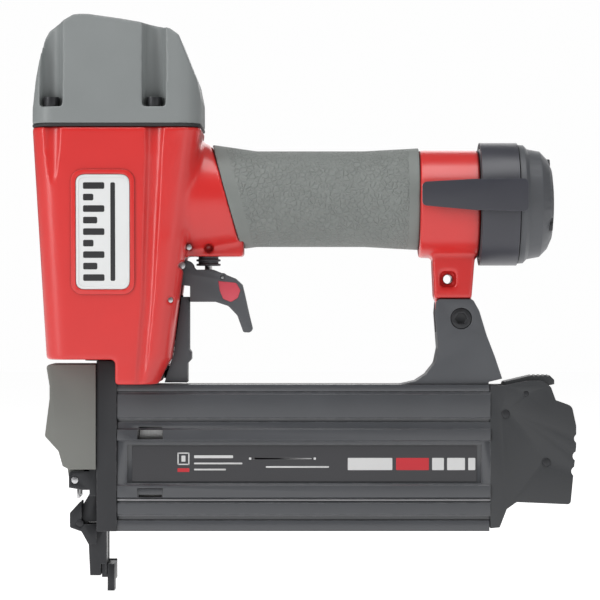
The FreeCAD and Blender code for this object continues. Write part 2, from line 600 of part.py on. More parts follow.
# ---------------------------------------------------------------- magazine rail, arm and brads
NEAR = "-mag_half"
rail = joined(
    box(("mag_front", "mag_back"), ("track_half", "mag_half"), ("mag_low", "mag_top")),
    box(("mag_front", "mag_back"), (NEAR, "track_half + 1"), ("mag_top - flange_top", "mag_top")),
    box(("mag_front", "mag_back"), (NEAR, "track_half + 1"), ("mag_low", "mag_low + flange_low")))
rail = less(
    rail,
    box(("mag_front - 1", "mag_back - 6"), ("-track_half", "track_half + 0.2"),
        ("brad_low - 0.2", "mag_low + flange_low + 1")),
    # long reliefs that leave ribs on the far side
    box(("16", "158"), ("mag_half - 1.4", "mag_half + 1"), ("46.5", "63")),
    box(("mag_front - 1", "mag_back + 1"), ("mag_half - 1", "mag_half + 1"), ("31", "39")),
    box(("mag_front - 1", "mag_back + 1"), ("mag_half - 1", "mag_half + 1"), ("73.5", "84.6")),
    # lightening hollows behind the track
    box(("20", "166"), ("3.4", "8.6"), ("33", "60")),
    box(("20", "166"), ("3.4", "8.6"), ("64", "84")))
for x in ("140", "160"):
    rail = less(rail, rod("Z", "1.6", "83", "mag_top + 1", (x, "6")))
node("magazine_rail", rail)

ARM = [("127.5", "mag_top"), ("134", "89.9"), ("138.4", "92.8"), ("142.2", "97.6"),
       ("143.5", "104"), ("arm_front", "119"), ("142.9", "125"), ("158.4", "125"),
       ("161.2", "120"), ("164.4", "109.4"), ("167.8", "100.6"), ("arm_back", "91"),
       ("165.2", "89.6"), ("165.2", "mag_top")]
node("magazine_arm", less(
    plate("XZ_Plane", ARM, "-arm_half", "arm_half", {"4": [3, 4], "2": [6, 7], "6": [8, 9]}),
    box(("140", "162.5"), ("-lug_half", "lug_half"), ("lug_low - 0.2", "126")),
    rod("Y", "2.6", "-12", "12", ("153.5", "116.7")),
    rod("Y", "4.5", "-12", "1.6 - arm_half", ("153.5", "116.7")),
    rod("Y", "4.2", "arm_half - 2.6", "12", ("153.5", "116.7")),
    rod("Z", "1.6", "88", "98", ("160", "6"))))
bolt_head = rod("Y", "4.3", "-arm_half - 0.2", "1.6 - arm_half", ("153.5", "116.7"))
bolt_socket = doc.addObject("Part::Prism", "Socket")
bolt_socket.Polygon = 6
bolt_socket.Placement = FreeCAD.Placement(V(), TURNS["Y"])
bind(bolt_socket, Circumradius="2.5", Height="1.6", Placement__Base__x="153.5",
     Placement__Base__y="-arm_half - 0.3", Placement__Base__z="116.7")
node("arm_bolt", less(joined(rod("Y", "2.5", "-arm_half", "arm_half - 1", ("153.5", "116.7")),
                             bolt_head), bolt_socket))
node("arm_nut", less(rod("Y", "4.1", "arm_half - 2.6", "arm_half", ("153.5", "116.7")),
                     rod("Y", "2.5", "0", "12", ("153.5", "116.7"))))
node("rail_screws", group(rod("Z", "1.6", "84", "mag_top", ("140", "6")),
                          rod("Z", "1.6", "84", "97", ("160", "6"))))

brads = []
for count in range(int(size("brad_count"))):
    start = f"channel_half + 0.3 + {count} * brad_pitch"
    brads.append(box((start, start + " + brad_pitch - 0.06"), ("-0.5", "0.5"),
                     ("brad_low", "brad_low + brad_height")))
glue = box(("channel_half + 0.3", "channel_half + 0.24 + brad_count * brad_pitch"),
           ("-0.2", "0.3"), ("brad_low + 4", "brad_low + brad_height - 2"))
node("brad_stick", joined(glue, *brads))

# ---------------------------------------------------------------- sliding cover and end grip
COVER_LOW = "mag_low + flange_low + mag_gap"
COVER_TOP = "mag_top - flange_top - mag_gap"
cover = box(("mag_front + 0.3", "mag_back + 0.4"), (NEAR, "-track_half"), (COVER_LOW, COVER_TOP))
node("magazine_cover", less(
    cover,
    box(("10.8", "162"), ("-12", "1.3 - mag_half"), ("46.5", "63")),
    box(("mag_front", "166"), ("-12", "0.7 - mag_half"), ("72.6", "73.8")),
    box(("mag_front", "166"), ("-12", "0.5 - mag_half"), ("38.4", "39.4")),
    box(("mag_front", "166"), ("-12", "0.9 - mag_half"), (COVER_LOW, "32.4")),
    # chamber for the follower and its spring, open to the track
    box(("12", "164"), ("-8.6", "-track_half + 1"), ("50", "66")),
    # window that shows the brads, and two narrow ones below it
    box(("15.7", "25.7"), ("-12", "0"), ("66", "70.6")),
    box(("15.7", "25.7"), ("-12", "0"), ("44.2", "46.2")),
    box(("15.7", "25.7"), ("-12", "0"), ("39.8", "41.6"))))
node("magazine_label", box(("13", "160"), ("1 - mag_half", "1.3 - mag_half"), ("47.2", "62.3")))

GRIP_END = [("mag_back + 0.4", "27.2"), ("169.8", "27.6"), ("172.8", "35.4"), ("177", "38.4"),
            ("200", "37.4"), ("201.2", "50"), ("202.4", "62"), ("202.4", "71"),
            ("200.6", "79.4"), ("194.4", "81.6"), ("170", "81.6"), ("170", "88.2"),
            ("mag_back + 0.4", "88.2")]
cheek = [("169", "80"), ("194.4", "80"), ("191.6", "87.6"), ("187.8", "90.2"), ("182", "90.2"),
         ("172", "88.2"), ("169", "88.2")]
end_grip = joined(
    plate("XZ_Plane", GRIP_END, "-mag_half", "mag_half", {"1.5": [3, 4], "3": [7, 8]}),
    plate("XZ_Plane", cheek, "-mag_half", "3.4 - mag_half", {"2": [2, 3]}),
    plate("XZ_Plane", cheek, "mag_half - 3.4", "mag_half", {"2": [2, 3]}))
node("end_grip", less(
    end_grip,
    *[rod("Y", "2.1", "-12", "12", at) for at in (("202.4", "51.5"), ("203", "58"),
                                                  ("203.6", "65.5"))],
    box(("mag_back", "196"), ("-7.8", "7.8"), ("42", "78.5")),
    *[rod("Y", "1.8", "-12", "12", at) for at in (("172.3", "76"), ("189.6", "55.5"))],
    rod("Y", "1.25", "-12", "12", ("181", "84.6"))))
node("grip_rivets", group(*[rod("Y", "1.8", "-mag_half - 0.4", "mag_half + 0.4", at)
                            for at in (("172.3", "76"), ("189.6", "55.5"))]))
THUMB = [("170.8", "86"), ("172", "89.6"), ("184", "92.4"), ("191.4", "92.4"), ("193.4", "90.4"),
         ("193.4", "88.6"), ("183.4", "86.4"), ("181", "82.4"), ("178.6", "84.6")]
serrations = [rod("Y", "0.7", "-8", "8", (str(x), "92.7")) for x in (184.6, 186.6, 188.6, 190.6)]
node("thumb_latch", less(
    plate("XZ_Plane", THUMB, "-7.5", "7.5", {"0.8": [1, 3, 4]}),
    rod("Y", "1.3", "-12", "12", ("181", "84.6")), *serrations))
node("thumb_pin", rod("Y", "1.25", "-mag_half", "mag_half", ("181", "84.6")))

push = joined(box(("27.8", "34"), ("-0.55", "0.55"), ("31.4", "84")),
              box(("28.4", "46"), ("-8.3", "-0.2"), ("50.3", "65.7")))
node("follower", less(push, rod("X", "2.9", "34", "47", ("-5", "58"))))
node("follower_spring", coil("X", 2.4, 0.35, "34.2", "163.8", 26, (-5, 58)))

# ---------------------------------------------------------------- grip and rear end
grip = less(
    joined(rod("X", "grip_radius", "55", "collar_front", at_grip), neck(),
           rod("X", "grip_radius", "112", "collar_front", at_grip, "Part::Cone",
               Radius2="grip_flare")),
    rod("X", "handle_radius", "20", "140", at_handle),
    seam(),
    box(("34", "bridge_back"), ("-10.5", "10.5"), ("bridge_low - 1", "bridge_low + 12")))
node("handle_grip", grip)
node("exhaust_collar", tube("X", "ring_inner - 0.08", "20", "handle_back + 0.2", "ring_back + 0.4",
                            at_handle))
strap = plate("XZ_Plane", [("strap_front", "handle_height - 1.4"), ("strap_front", "handle_height + 8.4"),
                           ("158", "handle_height + 9.6"), ("strap_back", "handle_height + 9.8"),
                           ("strap_back", "handle_height - 4"), ("158", "handle_height - 3.4")],
              "-strap_out", "-strap_in", {"2": [0, 1, 3, 4]})
anchor = box(("ring_front + 1", "ring_back - 1"), ("-strap_in - 0.2", "2 - ring_outer"),
             ("handle_height - 3", "handle_height + 9"))
hoop = tube("X", "ring_outer", "ring_inner", "ring_front + 0.2", "ring_back", at_handle)
anchor = less(anchor, rod("X", "ring_inner + 0.6", "150", "190", at_handle))
node("belt_hook", joined(hoop, anchor, strap))

END = [("ring_back + 0.4", "6.5"), ("ring_back + 0.4", "25.6"), ("180.4", "25.4"),
       ("182", "end_radius - 0.2"), ("187.4", "end_radius - 1.2"), ("190.6", "19.4"),
       ("192.4", "15.4"), ("end_back", "11"), ("end_back", "6.5")]
CAVITY = [("ring_back", "8.6"), ("ring_back", "20.6"), ("186", "19"), ("188.5", "15"),
          ("188.5", "8.6")]
end = less(turned(END, "X", "handle_height"), turned(CAVITY, "X", "handle_height"),
           *[rod("X", "2.1", "176", "195", at) for at in END_SCREWS],
           *[rod("X", "3.05", "190", "195", at) for at in END_SCREWS])
node("end_cap", end)
node("end_cap_screws", group(*[
    joined(rod("X", "1.9", "167", "190.6", at), rod("X", "3", "190", "192", at))
    for at in END_SCREWS]))
node("inlet_bushing", less(rod("X", "6.5", "end_back - inlet_depth - 3", "end_back", at_handle),
                           rod("X", "inlet_radius", "170", "end_back + 1", at_handle)))
node("muffler", tube("X", "14", "8.8", "ring_back + 1", "185", at_handle))

# ---------------------------------------------------------------- badge on the column
skin = less(tapered(("column_front_low", "column_back_low", "column_low_half + 0.6", "column_floor"),
                    ("column_front_top", "column_back_top", "column_half + 0.6", "column_top"),
                    "column_round"),
            tapered(("column_front_low - 2", "column_back_low + 2", "column_low_half", "column_floor"),
                    ("column_front_top - 2", "column_back_top + 2", "column_half", "column_top"),
                    "column_round"))
field = plate("XZ_Plane", [("-9", "130.5"), ("12.6", "130.5"), ("12.6", "178.5"), ("-9", "178.5")],
              "-32", "-20", {"2.5": [0, 1, 2, 3]})
node("badge", shared(skin, field))

# ---------------------------------------------------------------- check and write
doc.recompute()
broken = [thing.Name for thing in doc.Objects if {"Invalid", "Error"} & set(thing.State)]
assert not broken, f"failed objects: {broken}"
for piece in NODES:
    assert not piece.Shape.isNull() and piece.Shape.isValid(), f"bad shape: {piece.Label}"
os.makedirs("parts", exist_ok=True)
for piece in NODES:
    piece.Shape.exportStep(f"parts/{piece.Label}.step")
print(f"{len(NODES)} sub-parts written")
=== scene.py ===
import math

import bmesh
import bpy
from mathutils import Matrix, Vector


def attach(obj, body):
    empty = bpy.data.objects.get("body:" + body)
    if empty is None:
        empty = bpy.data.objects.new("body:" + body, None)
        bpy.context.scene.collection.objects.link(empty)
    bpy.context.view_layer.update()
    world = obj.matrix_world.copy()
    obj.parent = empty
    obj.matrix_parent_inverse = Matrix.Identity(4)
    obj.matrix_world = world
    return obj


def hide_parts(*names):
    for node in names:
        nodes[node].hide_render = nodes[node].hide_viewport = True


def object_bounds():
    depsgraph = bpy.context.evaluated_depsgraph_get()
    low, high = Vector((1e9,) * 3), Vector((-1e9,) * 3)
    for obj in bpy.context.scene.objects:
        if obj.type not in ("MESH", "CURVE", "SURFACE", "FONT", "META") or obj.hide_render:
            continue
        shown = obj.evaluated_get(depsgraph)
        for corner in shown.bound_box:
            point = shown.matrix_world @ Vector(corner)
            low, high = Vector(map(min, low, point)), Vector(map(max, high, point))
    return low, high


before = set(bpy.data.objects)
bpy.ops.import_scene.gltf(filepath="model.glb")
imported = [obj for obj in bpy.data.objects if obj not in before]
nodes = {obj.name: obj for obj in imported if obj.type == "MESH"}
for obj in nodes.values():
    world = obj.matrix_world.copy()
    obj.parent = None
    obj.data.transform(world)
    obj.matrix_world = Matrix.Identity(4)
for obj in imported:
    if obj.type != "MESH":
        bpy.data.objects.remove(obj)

cad_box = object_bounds()
MM = 0.001

# ---------------------------------------------------------------- table, lamps and camera
# A pale sheet lies under the tool in a white room. Two tall soft lamps stand in front, one
# hangs above and one behind, and the camera looks level at the near side from about a metre.
low, high = cad_box
centre = (Vector(low) + Vector(high)) / 2
view_middle = Vector((84.6 * MM, 0, 124.6 * MM))
camera_distance = 1150 * MM
picture_width = 258.4 * MM

camera_data = bpy.data.cameras.new("camera")
camera_data.sensor_width = 36
camera_data.lens = 36 * camera_distance / picture_width
camera_data.clip_start = 0.01
camera = bpy.data.objects.new("camera", camera_data)
camera.location = view_middle - Vector((0, camera_distance, 0))
camera.rotation_euler = (math.pi / 2, 0, 0)
bpy.context.scene.collection.objects.link(camera)
bpy.context.scene.camera = camera
bpy.context.scene.view_settings.view_transform = "Standard"

bpy.ops.object.select_all(action="DESELECT")
bpy.ops.mesh.primitive_plane_add(size=7, location=(centre.x, 0, low[2] - 0.0003))
table = bpy.context.object
table.name = "table"
paper = bpy.data.materials.new("pale_paper")
paper.use_nodes = True
paper_shader = paper.node_tree.nodes["Principled BSDF"]
paper_shader.inputs["Base Color"].default_value = (0.4, 0.4, 0.4, 1)
paper_shader.inputs["Roughness"].default_value = 0.8
paper_shader.inputs["Emission Color"].default_value = (1, 1, 1, 1)
paper_shader.inputs["Emission Strength"].default_value = 0.9
table.data.materials.append(paper)


def soft_lamp(name, place, width, height, power):
    """A rectangular lamp that faces the middle of the tool."""
    data = bpy.data.lights.new(name, "AREA")
    data.shape = "RECTANGLE"
    data.size, data.size_y = width, height
    data.energy = power
    lamp = bpy.data.objects.new(name, data)
    lamp.location = centre + Vector(place)
    lamp.rotation_euler = (-Vector(place)).to_track_quat("-Z", "Y").to_euler()
    bpy.context.scene.collection.objects.link(lamp)
    return lamp


soft_lamp("left_lamp", (-1.0, -0.75, 0.45), 0.4, 1.1, 7.2)
soft_lamp("right_lamp", (0.95, -1.0, 0.3), 0.4, 0.9, 1.3)
soft_lamp("top_lamp", (0.05, -0.3, 1.0), 1.1, 0.6, 8)
soft_lamp("rear_lamp", (0.1, 1.1, 0.5), 1.2, 0.6, 4)
world = bpy.context.scene.world or bpy.data.worlds.new("room")
bpy.context.scene.world = world
world.use_nodes = True
sky = world.node_tree
sky.nodes["Background"].inputs["Color"].default_value = (1, 1, 1, 1)
seen = sky.nodes.new("ShaderNodeLightPath")
strength = sky.nodes.new("ShaderNodeMapRange")
strength.inputs["To Min"].default_value = 0.17
strength.inputs["To Max"].default_value = 0.99
sky.links.new(seen.outputs["Is Camera Ray"], strength.inputs["Value"])
sky.links.new(strength.outputs["Result"], sky.nodes["Background"].inputs["Strength"])

# ---------------------------------------------------------------- housing
# One light-metal casting holds the cylinder, the handle core, the rear collar and the lug for
# the magazine. It is cast, fettled and powder coated in red, so its corners are all soft.


def deselect():
    """Leave object mode with nothing selected."""
    if bpy.context.object and bpy.context.object.mode != "OBJECT":
        bpy.ops.object.mode_set(mode="OBJECT")
    bpy.ops.object.select_all(action="DESELECT")


def take(piece):
    """Make one object the selected and active one."""
    deselect()
    piece.select_set(True)
    bpy.context.view_layer.objects.active = piece
    return piece


def blank_from(node, name):
    """A merged copy of a designed piece's mesh, with flat areas cleaned up, ready to work on."""
    piece = bpy.data.objects.new(name, nodes[node].data.copy())
    piece.data.materials.clear()
    bpy.context.scene.collection.objects.link(piece)
    take(piece)
    bpy.ops.object.mode_set(mode="EDIT")
    bpy.ops.mesh.select_all(action="SELECT")
    bpy.ops.mesh.remove_doubles(threshold=1e-6)
    bpy.ops.mesh.dissolve_limited(angle_limit=math.radians(1.5))
    bpy.ops.object.mode_set(mode="OBJECT")
    return piece


def apply_all(piece):
    """Apply every modifier of a piece in its order."""
    take(piece)
    for modifier in list(piece.modifiers):
        bpy.ops.object.modifier_apply(modifier=modifier.name)
    return piece


def melt(piece, grain_size, rounds, keep=1.0):
    """Run a piece together into one soft-cornered skin, as a casting or a moulding has."""
    remesh = piece.modifiers.new("skin", "REMESH")
    remesh.mode = "VOXEL"
    remesh.voxel_size = grain_size * MM
    soften = piece.modifiers.new("soften", "SMOOTH")
    soften.factor = 0.5
    soften.iterations = rounds
    if keep < 1:
        thin = piece.modifiers.new("thin", "DECIMATE")
        thin.ratio = keep
    apply_all(piece)
    bpy.ops.object.shade_smooth()
    return piece


def add_solid(piece, solid):
    """Join another solid into a piece."""
    take(piece)
    solid.select_set(True)
    bpy.ops.object.join()
    return piece


def carve(piece, cutter):
    """Cut a solid out of a piece and throw the cutter away."""
    boolean = piece.modifiers.new("cut", "BOOLEAN")
    boolean.operation = "DIFFERENCE"
    boolean.object = cutter
    boolean.solver = "EXACT"
    take(piece)
    bpy.ops.object.modifier_apply(modifier=boolean.name)
    bpy.data.objects.remove(cutter)
    return piece


def peg(radius, low_end, high_end, axis="Z", across=(0, 0), sides=48):
    """A round bar between two places along an axis, in millimetres."""
    deselect()
    middle = (low_end + high_end) / 2
    place = {"X": (middle, *across), "Y": (across[0], middle, across[1]), "Z": (*across, middle)}
    turn = {"X": (0, math.pi / 2, 0), "Y": (-math.pi / 2, 0, 0), "Z": (0, 0, 0)}[axis]
    bpy.ops.mesh.primitive_cylinder_add(
        vertices=sides, radius=radius * MM, depth=(high_end - low_end) * MM,
        location=[v * MM for v in place[axis]], rotation=turn)
    bar = bpy.context.object
    bpy.ops.object.transform_apply(location=True, rotation=True, scale=True)
    return bar


def effect(name, inputs, outputs):
    """A new shader node group with named float inputs and outputs."""
    group = bpy.data.node_groups.new(name, "ShaderNodeTree")
    for label, value in inputs.items():
        socket = group.interface.new_socket(name=label, in_out="INPUT",
                                            socket_type="NodeSocketFloat")
        socket.default_value = value
    for label in outputs:
        group.interface.new_socket(name=label, in_out="OUTPUT", socket_type="NodeSocketFloat")
    return group, group.nodes.new("NodeGroupInput"), group.nodes.new("NodeGroupOutput")


def chain(tree, kind, **settings):
    """Add a node and set its attributes."""
    made = tree.nodes.new(kind)
    for key, value in settings.items():
        setattr(made, key, value)
    return made


# worn edges with painted highlights: lighter colour where the surface turns sharply, broken up by
# a patchy noise
edge_wear_and_highlight, edge_mark_in, edge_mark_out = effect(
    "edge_wear_and_highlight", {"Width": 0.0006, "Amount": 0.5, "Patch": 320}, ["Mask"])
rounded = chain(edge_wear_and_highlight, "ShaderNodeBevel", samples=6)
edge_wear_and_highlight.links.new(edge_mark_in.outputs["Width"], rounded.inputs["Radius"])
facing = chain(edge_wear_and_highlight, "ShaderNodeNewGeometry")
match = chain(edge_wear_and_highlight, "ShaderNodeVectorMath", operation="DOT_PRODUCT")
edge_wear_and_highlight.links.new(rounded.outputs["Normal"], match.inputs[0])
edge_wear_and_highlight.links.new(facing.outputs["Normal"], match.inputs[1])
turned = chain(edge_wear_and_highlight, "ShaderNodeMapRange")
turned.inputs["From Min"].default_value = 0.985
turned.inputs["From Max"].default_value = 0.86
edge_wear_and_highlight.links.new(match.outputs["Value"], turned.inputs["Value"])
place = chain(edge_wear_and_highlight, "ShaderNodeTexCoord")
patches = chain(edge_wear_and_highlight, "ShaderNodeTexNoise")
patches.inputs["Detail"].default_value = 4
edge_wear_and_highlight.links.new(place.outputs["Object"], patches.inputs["Vector"])
edge_wear_and_highlight.links.new(edge_mark_in.outputs["Patch"], patches.inputs["Scale"])
broken = chain(edge_wear_and_highlight, "ShaderNodeMapRange")
broken.inputs["From Min"].default_value = 0.42
broken.inputs["From Max"].default_value = 0.62
edge_wear_and_highlight.links.new(patches.outputs["Fac"], broken.inputs["Value"])
both = chain(edge_wear_and_highlight, "ShaderNodeMath", operation="MULTIPLY")
edge_wear_and_highlight.links.new(turned.outputs["Result"], both.inputs[0])
edge_wear_and_highlight.links.new(broken.outputs["Result"], both.inputs[1])
scaled = chain(edge_wear_and_highlight, "ShaderNodeMath", operation="MULTIPLY")
edge_wear_and_highlight.links.new(both.outputs["Value"], scaled.inputs[0])
edge_wear_and_highlight.links.new(edge_mark_in.outputs["Amount"], scaled.inputs[1])
edge_wear_and_highlight.links.new(scaled.outputs["Value"], edge_mark_out.inputs["Mask"])

# surface grain: a fine height for the bump and a broad tone for the colour
grain, grain_in, grain_out = effect("grain", {"Fine": 2200, "Broad": 60}, ["Height", "Tone"])
spot = chain(grain, "ShaderNodeTexCoord")
fine = chain(grain, "ShaderNodeTexNoise")
fine.inputs["Detail"].default_value = 3
broad = chain(grain, "ShaderNodeTexNoise")
broad.inputs["Detail"].default_value = 5
for noise, knob, out in ((fine, "Fine", "Height"), (broad, "Broad", "Tone")):
    grain.links.new(spot.outputs["Object"], noise.inputs["Vector"])
    grain.links.new(grain_in.outputs[knob], noise.inputs["Scale"])
    grain.links.new(noise.outputs["Fac"], grain_out.inputs[out])

# painted shade: the colour darkens in corners and hollows that ambient occlusion finds, where
# shade falls
painted_shade, painted_shade_in, painted_shade_out = effect("painted_shade", {"Reach": 0.004, "Amount": 0.6}, ["Mask"])
corner = chain(painted_shade, "ShaderNodeAmbientOcclusion", samples=6)
painted_shade.links.new(painted_shade_in.outputs["Reach"], corner.inputs["Distance"])
dark = chain(painted_shade, "ShaderNodeMapRange")
dark.inputs["From Min"].default_value = 0.85
dark.inputs["From Max"].default_value = 0.35
painted_shade.links.new(corner.outputs["AO"], dark.inputs["Value"])
less = chain(painted_shade, "ShaderNodeMath", operation="MULTIPLY")
painted_shade.links.new(dark.outputs["Result"], less.inputs[0])
painted_shade.links.new(painted_shade_in.outputs["Amount"], less.inputs[1])
painted_shade.links.new(less.outputs["Value"], painted_shade_out.inputs["Mask"])


def finish(name, colour, roughness, metallic=0.0, coat=0.0, fine=2200, bump=0.03, broad=60,
           tone=0.12, worn_and_lit=None, wear_and_highlight=0.4, width=0.0005, shade_amount=0.5, specular=0.5, reach=0.004):
    """A finish with grain, uneven tone, worn edges with painted highlights and painted shade in
    corners, each with its own strength.
    """
    made = bpy.data.materials.new(name)
    made.use_nodes = True
    tree = made.node_tree
    shader = tree.nodes["Principled BSDF"]
    shader.inputs["Metallic"].default_value = metallic
    shader.inputs["Coat Weight"].default_value = coat
    shader.inputs["Coat Roughness"].default_value = 0.18
    shader.inputs["Specular IOR Level"].default_value = specular
    surface = chain(tree, "ShaderNodeGroup", node_tree=grain)
    surface.inputs["Fine"].default_value = fine
    surface.inputs["Broad"].default_value = broad
    shade = chain(tree, "ShaderNodeMix", data_type="RGBA")
    shade.inputs[6].default_value = (*[c * (1 - tone) for c in colour], 1)
    shade.inputs[7].default_value = (*[min(1, c * (1 + tone)) for c in colour], 1)
    tree.links.new(surface.outputs["Tone"], shade.inputs[0])
    # worn edges with painted highlights: the colour lightens to the given edge colour where the
    # surface turns sharply
    edge_marks = chain(tree, "ShaderNodeGroup", node_tree=edge_wear_and_highlight)
    edge_marks.inputs["Amount"].default_value = wear_and_highlight
    edge_marks.inputs["Width"].default_value = width
    bright = chain(tree, "ShaderNodeMix", data_type="RGBA")
    light = worn_and_lit or [min(1, c * 1.6 + 0.05) for c in colour]
    bright.inputs[7].default_value = (*light, 1)
    tree.links.new(edge_marks.outputs["Mask"], bright.inputs[0])
    tree.links.new(shade.outputs[2], bright.inputs[6])
    # painted shade: the colour darkens towards 0.3 of itself in corners and hollows, by the amount
    # given
    shade_node = chain(tree, "ShaderNodeGroup", node_tree=painted_shade)
    shade_node.inputs["Amount"].default_value = shade_amount
    shade_node.inputs["Reach"].default_value = reach
    shaded = chain(tree, "ShaderNodeMix", data_type="RGBA")
    shaded.inputs[7].default_value = (*[c * 0.3 for c in colour], 1)
    tree.links.new(shade_node.outputs["Mask"], shaded.inputs[0])
    tree.links.new(bright.outputs[2], shaded.inputs[6])
    tree.links.new(shaded.outputs[2], shader.inputs["Base Color"])
    gloss = chain(tree, "ShaderNodeMapRange")
    gloss.inputs["To Min"].default_value = roughness - 0.06
    gloss.inputs["To Max"].default_value = roughness + 0.08
    tree.links.new(surface.outputs["Tone"], gloss.inputs["Value"])
    tree.links.new(gloss.outputs["Result"], shader.inputs["Roughness"])
    relief = chain(tree, "ShaderNodeBump")
    relief.inputs["Strength"].default_value = 1.0
    relief.inputs["Distance"].default_value = bump * MM
    tree.links.new(surface.outputs["Height"], relief.inputs["Height"])
    tree.links.new(relief.outputs["Normal"], shader.inputs["Normal"])
    return made


def dress(piece, material, body, slot, *stands_for):
    """Give a new piece its finish, its body and the designed pieces that it stands for."""
    piece.data.materials.clear()
    piece.data.materials.append(material)
    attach(piece, body)
    if stands_for:
        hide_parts(*stands_for)
    return piece


def groove(side, stations):
    """A tapering round channel through stations (x, distance from the middle, z, radius)."""
    deselect()
    rings = []
    for x, y, z, radius in stations:
        bpy.ops.mesh.primitive_circle_add(vertices=24, radius=radius * MM,
                                          location=(x * MM, side * y * MM, z * MM))
        bpy.ops.object.transform_apply(location=True, rotation=True, scale=True)
        rings.append(bpy.context.object)
    run = take(rings[0])
    for ring in rings[1:]:
        ring.select_set(True)
    bpy.ops.object.join()
    bpy.ops.object.mode_set(mode="EDIT")
    bpy.ops.mesh.select_all(action="SELECT")
    bpy.ops.mesh.bridge_edge_loops()
    bpy.ops.mesh.select_all(action="DESELECT")
    bpy.ops.mesh.select_non_manifold()
    bpy.ops.mesh.edge_face_add()
    bpy.ops.mesh.select_all(action="SELECT")
    bpy.ops.mesh.normals_make_consistent(inside=False)
    bpy.ops.object.mode_set(mode="OBJECT")
    return run


def relax(piece, rounds, inside):
    """Smooth only the points that a test picks out, so that a joint becomes a soft fillet."""
    zone = piece.vertex_groups.new(name="fillet")
    for v in piece.data.vertices:
        weight = inside(v.co / MM)
        if weight > 0:
            zone.add([v.index], min(1, weight), "REPLACE")
    soft = piece.modifiers.new("fillet", "SMOOTH")
    soft.vertex_group = zone.name
    soft.factor = 0.6
    soft.iterations = rounds
    apply_all(piece)
    piece.vertex_groups.clear()
    return piece


# painted shade: a strong corner darkening that reaches 11 mm darkens the grooves and joints of the
# red casting
red_coat = finish("red_powder_coat", (0.62, 0.02, 0.018), 0.34, coat=0.4, fine=2600, bump=0.012,
                  tone=0.06, worn_and_lit=(0.85, 0.16, 0.13), wear_and_highlight=0.3, width=0.0009, shade_amount=0.85,
                  reach=0.011)
casting = blank_from("housing", "housing_casting")
# solid fillings for the cylinder, the handle, the driver's way, the trigger valve's seat and the
# four screw holes, so that the skin keeps to the outside of the casting
screw_x, screw_y = (-20.2, 23.2), (-24.6, 24.6)
for filling in (peg(22, 108, 197.4), peg(13.2, 16, 174, "X", (0, 165.8)),
                peg(8.6, 99.6, 112), peg(5.6, 143.6, 158, "Z", (45.2, 0)),
                *[peg(2.6, 179, 197.4, "Z", (x, y)) for x in screw_x for y in screw_y]):
    add_solid(casting, filling)
melt(casting, 0.8, 1)
# the handle's root runs into the column in one large fillet
relax(casting, 60, lambda p: min((p.x - 22) / 6, (50 - p.x) / 4, (p.z - 150) / 5,
                                 (196.4 - p.z) / 3))
# cast-in channels that run on from the cap's screw pockets
front_channel = [(-20, 32.5, 201, 5.2), (-20, 32.3, 188, 5), (-19.8, 31.6, 178, 3.9),
                 (-19.6, 30.8, 170, 2.4)]
rear_channel = [(23.6, 32.5, 201, 5.2), (23.2, 32.1, 186, 4.8), (22.2, 29.8, 162, 3.8),
                (20.6, 28.6, 125, 3.5), (18.2, 27.4, 98, 3.3), (17.2, 27, 86, 3.2)]
for side in (-1, 1):
    carve(casting, groove(side, front_channel))
    carve(casting, groove(side, rear_channel))
melt(casting, 0.65, 3, 0.45)
dress(casting, red_coat, "frame", "red_paint", "housing")

# ---------------------------------------------------------------- cap over the cylinder
# A second casting, painted grey, closes the cylinder. Four deep screw pockets run down its
# corners, its crown falls towards the rear, and a dark gasket shows as a line beneath it.
grey_coat = finish("grey_cap_paint", (0.215, 0.23, 0.23), 0.48, coat=0.12, fine=3000, bump=0.018,
                   tone=0.05, worn_and_lit=(0.42, 0.43, 0.42), wear_and_highlight=0.25, width=0.0007, shade_amount=0.6,
                   specular=0.4)
cap = blank_from("cap", "cap_casting")
# its chamber and the spring's seat are filled, because only the outside shows
for filling in (peg(25.5, 198.85, 220.9), peg(19.5, 220.2, 238.2)):
    add_solid(cap, filling)
melt(cap, 0.6, 3, 0.7)
dress(cap, grey_coat, "frame", "grey_paint", "cap")

# ---------------------------------------------------------------- gasket, screws and inner parts
# Rubber parts are moulded nitrile. The screws and the nose group are steel with a black oxide
# finish, and the sleeve, piston and valve inside are turned aluminium.
nitrile = finish("nitrile_rubber", (0.018, 0.018, 0.02), 0.62, fine=1500, bump=0.01, wear_and_highlight=0.1)
oxide = finish("black_oxide_steel", (0.034, 0.035, 0.038), 0.4, metallic=0.55, fine=2500,
               bump=0.01, tone=0.2, worn_and_lit=(0.3, 0.3, 0.31), wear_and_highlight=0.7, width=0.0004, shade_amount=0.5)
steel = finish("ground_steel", (0.56, 0.56, 0.57), 0.28, metallic=1.0, fine=4000, bump=0.004,
               tone=0.08, worn_and_lit=(0.8, 0.8, 0.8), wear_and_highlight=0.3, shade_amount=0.4)
spring_steel = finish("spring_steel", (0.3, 0.3, 0.31), 0.34, metallic=1.0, fine=3500, bump=0.004)
light_alloy = finish("turned_alloy", (0.72, 0.73, 0.74), 0.3, metallic=1.0, fine=3200, bump=0.005)
brass = finish("turned_brass", (0.58, 0.42, 0.17), 0.3, metallic=1.0, fine=3200, bump=0.005,
               worn_and_lit=(0.8, 0.66, 0.35))
silencer = finish("silencer_foam", (0.3, 0.3, 0.29), 0.9, fine=900, bump=0.15, tone=0.25)


def ease(piece, width, segments=2, angle=32):
    """Break the sharp edges of a machined or moulded piece and shade it smooth."""
    bevel = piece.modifiers.new("eased_edges", "BEVEL")
    bevel.width = width * MM
    bevel.segments = segments
    bevel.limit_method = "ANGLE"
    bevel.angle_limit = math.radians(angle)
    bevel.use_clamp_overlap = True
    bevel.harden_normals = False
    apply_all(piece)
    bpy.ops.object.shade_smooth_by_angle(angle=math.radians(40))
    return piece


